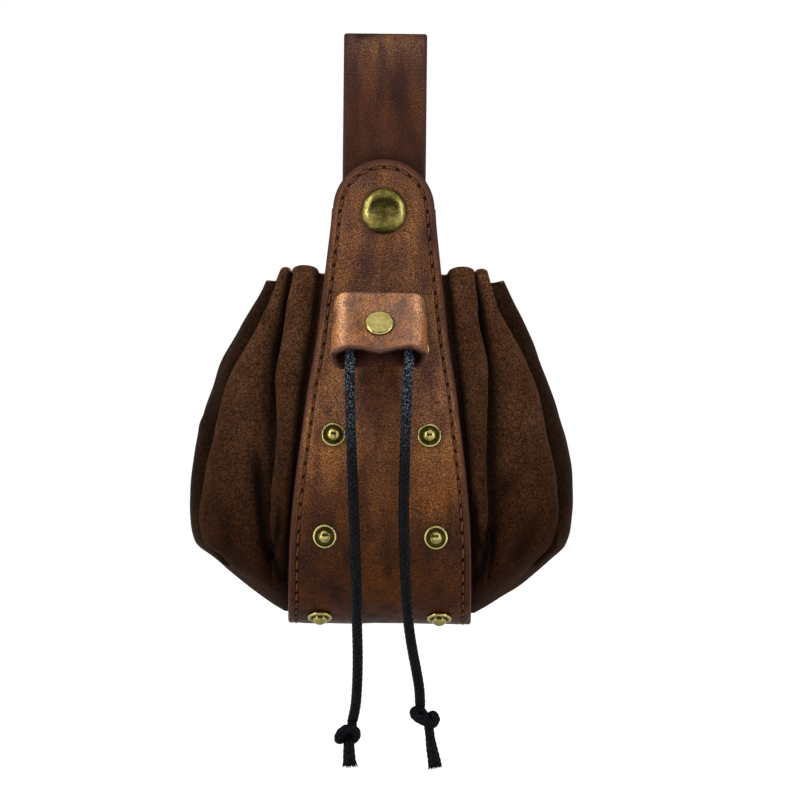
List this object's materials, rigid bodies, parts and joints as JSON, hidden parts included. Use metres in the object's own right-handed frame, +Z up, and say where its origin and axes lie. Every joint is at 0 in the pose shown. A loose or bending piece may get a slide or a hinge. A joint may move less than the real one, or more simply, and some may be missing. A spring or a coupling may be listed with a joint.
{
  "type": "belt pouch",
  "caption": "Drawstring belt pouch: pleated suede bag held by a stitched leather strap, with a snap belt loop, domed brass studs and a leather cord slider.",
  "frame": {"origin": "inner top of the belt loop, where it hangs on the belt, at the middle of its width and of its opening", "axes": "+Z up, +X to the right seen from the front, +Y to the back, so the front faces -Y"},
  "size_m": [0.1268, 0.0708, 0.2425],
  "materials": {
    "suede": "napped suede",
    "leather": "waxed, mottled, satin",
    "brass": "antique, polished on the high spots",
    "cord": "waxed braid"
  },
  "bodies": {
    "root": {"suede_bag": "suede", "front_strap": "leather", "belt_loop": "leather", "snap_cap": "brass", "snap_stud": "brass", "stud_top_left": "brass", "stud_top_right": "brass", "stud_middle_left": "brass", "stud_middle_right": "brass", "stud_bottom_left": "brass", "stud_bottom_right": "brass", "eyelet_left": "brass", "eyelet_right": "brass", "loop_rivet_left": "brass", "loop_rivet_right": "brass", "cord_slider": "leather", "slider_rivet": "brass", "drawstring": "cord", "cord_left": "cord", "cord_right": "cord", "knot_left": "cord", "knot_right": "cord"}
  },
  "joints": []
}
